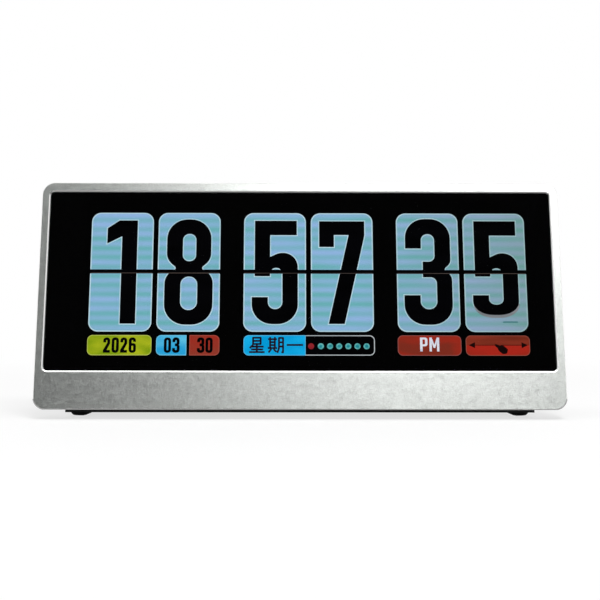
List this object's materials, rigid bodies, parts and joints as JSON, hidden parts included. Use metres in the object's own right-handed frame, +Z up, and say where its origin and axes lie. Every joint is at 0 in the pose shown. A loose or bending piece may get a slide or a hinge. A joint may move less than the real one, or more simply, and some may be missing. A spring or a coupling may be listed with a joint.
{
  "type": "desk clock",
  "caption": "Desk clock whose wide lit screen draws flip cards behind black touch glass, in an aluminium frame that leans back on a black housing.",
  "frame": {"origin": "middle of the footprint on the desk, under the middle of the clock's box", "axes": "+X to the right along the face as seen from the front, +Y from the face to the back, +Z up"},
  "size_m": [0.192, 0.0504, 0.0861],
  "materials": {
    "frame_metal": "fine bead-blasted, bright cut chamfers",
    "cover_glass": "polished, flush, black border behind it",
    "black_print": "opaque black ink",
    "tape": "black foam tape",
    "clear_film": "clear sensor glass",
    "flex_film": "amber flexible circuit",
    "foam": "soft black foam",
    "polariser": "dark grey film",
    "cell_glass": "thin clear glass",
    "chip_black": "moulded epoxy",
    "light_sheet": "white and clear light films",
    "lamp_strip": "white strip with lamps",
    "white_plastic": "white moulding",
    "tray_steel": "bright pressed steel",
    "screw_steel": "nickel-plated steel",
    "screw_black": "black-plated steel",
    "board_green": "green solder mask",
    "can_metal": "nickel-plated can",
    "ferrite": "dull dark ferrite",
    "black_inner_plastic": "black moulding",
    "ivory_plastic": "ivory moulding",
    "key_plastic": "fine matt black",
    "speaker_steel": "black-painted steel",
    "cone_paper": "black paper cone",
    "lead_red": "red insulated leads",
    "rear_plastic": "fine textured black",
    "rubber": "soft black rubber"
  },
  "bodies": {
    "clock": {"front_frame": "frame_metal", "cover_glass": "cover_glass", "border_print": "black_print", "glass_tape": "tape", "touch_sensor": "clear_film", "touch_flex": "flex_film", "cell_gasket": "foam", "front_polariser": "polariser", "colour_filter_glass": "cell_glass", "driver_glass": "cell_glass", "driver_chip": "chip_black", "rear_polariser": "polariser", "prism_sheet": "light_sheet", "diffuser_sheet": "light_sheet", "light_guide": "light_sheet", "reflector_sheet": "light_sheet", "lamp_strip": "lamp_strip", "backlight_frame": "white_plastic", "backlight_tray": "tray_steel", "display_flex": "flex_film", "screen_bracket": "tray_steel", "bracket_screws": "screw_steel", "main_board": "board_green", "processor": "chip_black", "memory_chip": "chip_black", "clock_chip": "chip_black", "clock_crystal": "can_metal", "power_chip": "chip_black", "power_inductor": "ferrite", "radio_module": "can_metal", "cell_holder": "black_inner_plastic", "coin_cell": "can_metal", "display_connector": "ivory_plastic", "touch_connector": "ivory_plastic", "speaker_connector": "ivory_plastic", "socket_shell": "can_metal", "socket_tongue": "black_inner_plastic", "switch_menu": "black_inner_plastic", "switch_up": "black_inner_plastic", "switch_down": "black_inner_plastic", "slide_switch": "can_metal", "speaker_gasket": "foam", "speaker_frame": "speaker_steel", "speaker_magnet": "ferrite", "speaker_leads": "lead_red", "rear_cover": "rear_plastic", "cover_screws": "screw_black", "board_screws": "screw_steel", "rubber_feet": "rubber"},
    "menu_key": {"button_menu": "key_plastic", "plunger_menu": "ivory_plastic"},
    "up_key": {"button_up": "key_plastic", "plunger_up": "ivory_plastic"},
    "down_key": {"button_down": "key_plastic", "plunger_down": "ivory_plastic"},
    "power_key": {"power_slider": "key_plastic", "slide_lever": "ivory_plastic"},
    "cone": {"speaker_cone": "cone_paper"}
  },
  "joints": [
    {"name": "menu_press", "type": "slide", "parent": "clock", "child": "menu_key", "axis": [0, -0.9903, -0.1392], "range_m": [0, 0.0005], "stiffness_N_per_m": 1200},
    {"name": "up_press", "type": "slide", "parent": "clock", "child": "up_key", "axis": [0, -0.9903, -0.1392], "range_m": [0, 0.0005], "stiffness_N_per_m": 1200},
    {"name": "down_press", "type": "slide", "parent": "clock", "child": "down_key", "axis": [0, -0.9903, -0.1392], "range_m": [0, 0.0005], "stiffness_N_per_m": 1200},
    {"name": "power_slide", "type": "slide", "parent": "clock", "child": "power_key", "axis": [1, 0, 0], "range_m": [0, 0.003]},
    {"name": "cone_throw", "type": "slide", "parent": "clock", "child": "cone", "axis": [0, 0.9903, 0.1392], "range_m": [-0.0004, 0.0004], "stiffness_N_per_m": 900}
  ]
}
